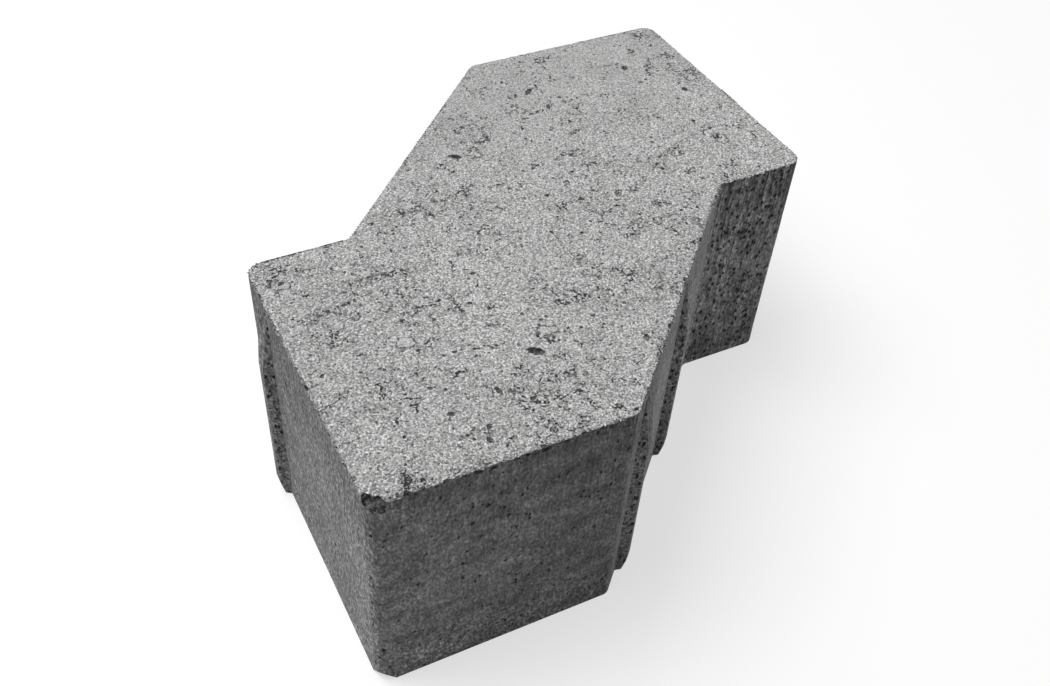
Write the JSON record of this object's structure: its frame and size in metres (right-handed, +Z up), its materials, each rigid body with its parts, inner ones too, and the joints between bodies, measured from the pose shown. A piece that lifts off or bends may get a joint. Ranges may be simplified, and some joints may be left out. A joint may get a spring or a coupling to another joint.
{
  "type": "paving stone",
  "caption": "Interlocking concrete paving stone, Z-shaped in plan, with slanted flanks, rounded upright corners and spacer ribs that keep the sand joints open.",
  "frame": {"origin": "centre of the underside, the face it lies on", "axes": "+Z up from the underside to the worn face, +X across the two long outer sides, +Y across the two straight ends"},
  "size_m": [0.187, 0.171, 0.08],
  "materials": {
    "concrete": "rough sandy pressed concrete, unpainted and dry"
  },
  "bodies": {
    "root": {"paving_stone": "concrete"}
  },
  "joints": []
}
